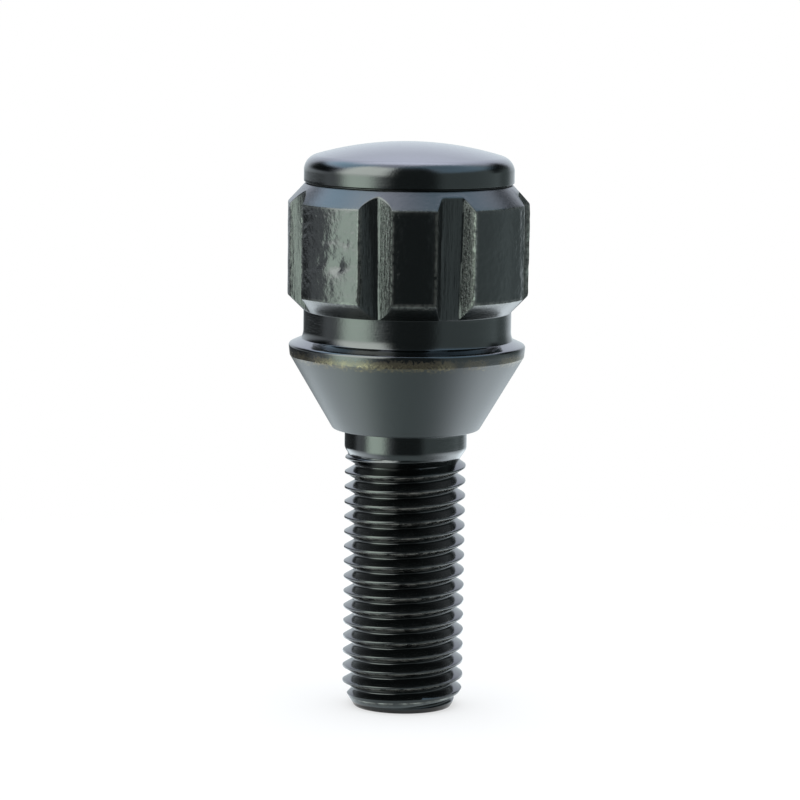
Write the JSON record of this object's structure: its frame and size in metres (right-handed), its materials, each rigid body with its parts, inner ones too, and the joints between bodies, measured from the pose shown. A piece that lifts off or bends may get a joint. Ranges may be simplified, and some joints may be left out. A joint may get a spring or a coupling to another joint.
{
  "type": "wheel bolt",
  "caption": "Car wheel bolt: threaded shank, conical seat under a narrow flange, and a domed locking head whose unevenly spaced flutes take a matching key socket.",
  "frame": {"origin": "centre of the flat threaded end, on which the bolt stands", "axes": "+Z along the bolt's axis from the threaded end to the domed head, -Y towards the front of the key pattern"},
  "size_m": [0.0239, 0.0238, 0.0562],
  "materials": {
    "black_coating": "glossy black coat on forged steel, satin grey on the seat cone, worn to brown under the flange"
  },
  "bodies": {
    "root": {"wheel_bolt": "black_coating"}
  },
  "joints": []
}
